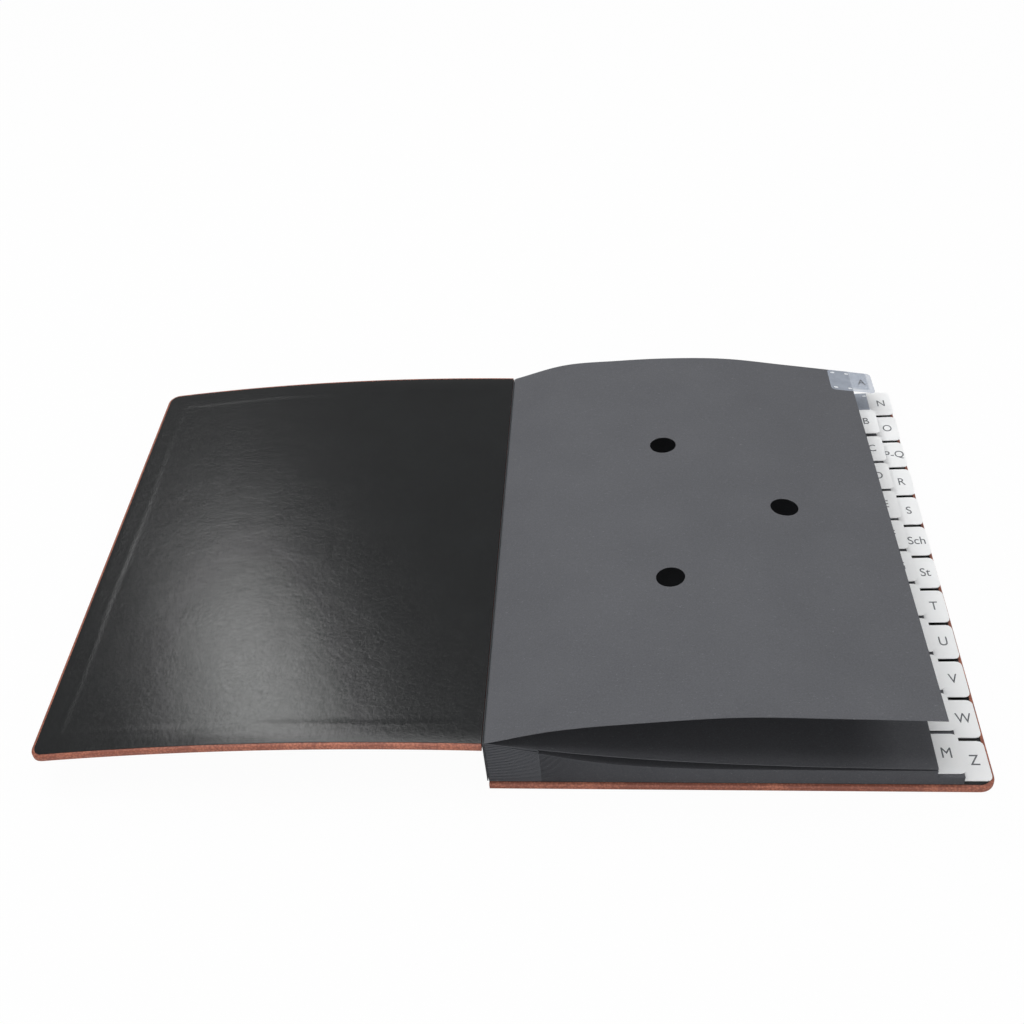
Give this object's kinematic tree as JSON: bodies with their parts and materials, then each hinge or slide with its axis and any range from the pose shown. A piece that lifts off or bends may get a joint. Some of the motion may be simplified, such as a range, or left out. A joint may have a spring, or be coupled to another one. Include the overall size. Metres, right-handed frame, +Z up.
{
  "type": "alphabetical desk sorter",
  "caption": "A4 desk sorter lying open: leather-covered boards, pleated spine gusset, card dividers with sight holes and clear index tabs in stepped rows.",
  "frame": {"origin": "centre of the back cover's underside, where the closed sorter stands on a desk", "axes": "+X from the spine to the index tabs, +Y along the spine to its far end, +Z up from the desk"},
  "size_m": [0.5283, 0.34, 0.0584],
  "materials": {
    "leather": "terracotta bonded leather, fine pebble grain, satin",
    "lining": "glossy black embossed cover lining paper",
    "board": "grey bookbinder's board",
    "card": "dark grey dyed card with fine fibre flecks, matt",
    "gusset": "dark grey gusset paper, folded",
    "cloth": "black book cloth",
    "tab_film": "clear film over white paper label, glossy"
  },
  "bodies": {
    "back_cover": {"back_board": "board", "back_leather": "leather", "back_lining": "lining"},
    "register_block": {"spine_cloth": "cloth", "expanding_gusset": "gusset", "divider_a": "card", "divider_b": "card", "divider_c": "card", "divider_d": "card", "divider_e": "card", "divider_f": "card", "divider_g": "card", "divider_h": "card", "divider_i_j": "card", "divider_k": "card", "divider_l": "card", "divider_m": "card", "divider_n": "card", "divider_o": "card", "divider_p_q": "card", "divider_r": "card", "divider_s": "card", "divider_sch": "card", "divider_st": "card", "divider_t": "card", "divider_u": "card", "divider_v": "card", "divider_w": "card", "divider_z": "card", "tab_a": "tab_film", "tab_b": "tab_film", "tab_c": "tab_film", "tab_d": "tab_film", "tab_e": "tab_film", "tab_f": "tab_film", "tab_g": "tab_film", "tab_h": "tab_film", "tab_i_j": "tab_film", "tab_k": "tab_film", "tab_l": "tab_film", "tab_m": "tab_film", "tab_n": "tab_film", "tab_o": "tab_film", "tab_p_q": "tab_film", "tab_r": "tab_film", "tab_s": "tab_film", "tab_sch": "tab_film", "tab_st": "tab_film", "tab_t": "tab_film", "tab_u": "tab_film", "tab_v": "tab_film", "tab_w": "tab_film", "tab_z": "tab_film"},
    "front_cover": {"front_board": "board", "front_leather": "leather", "front_lining": "lining"}
  },
  "joints": [
    {"name": "back_cover_hinge", "type": "hinge", "parent": "back_cover", "child": "register_block", "pos_m": [-0.1318, 0, 0.00458], "axis": [0, -1, 0], "range_deg": [0, 180]},
    {"name": "front_cover_hinge", "type": "hinge", "parent": "register_block", "child": "front_cover", "pos_m": [-0.1323, 0, 0.03745], "axis": [0, 1, 0], "range_deg": [0, 184.5], "deforming": ["divider_a", "tab_a"]}
  ]
}
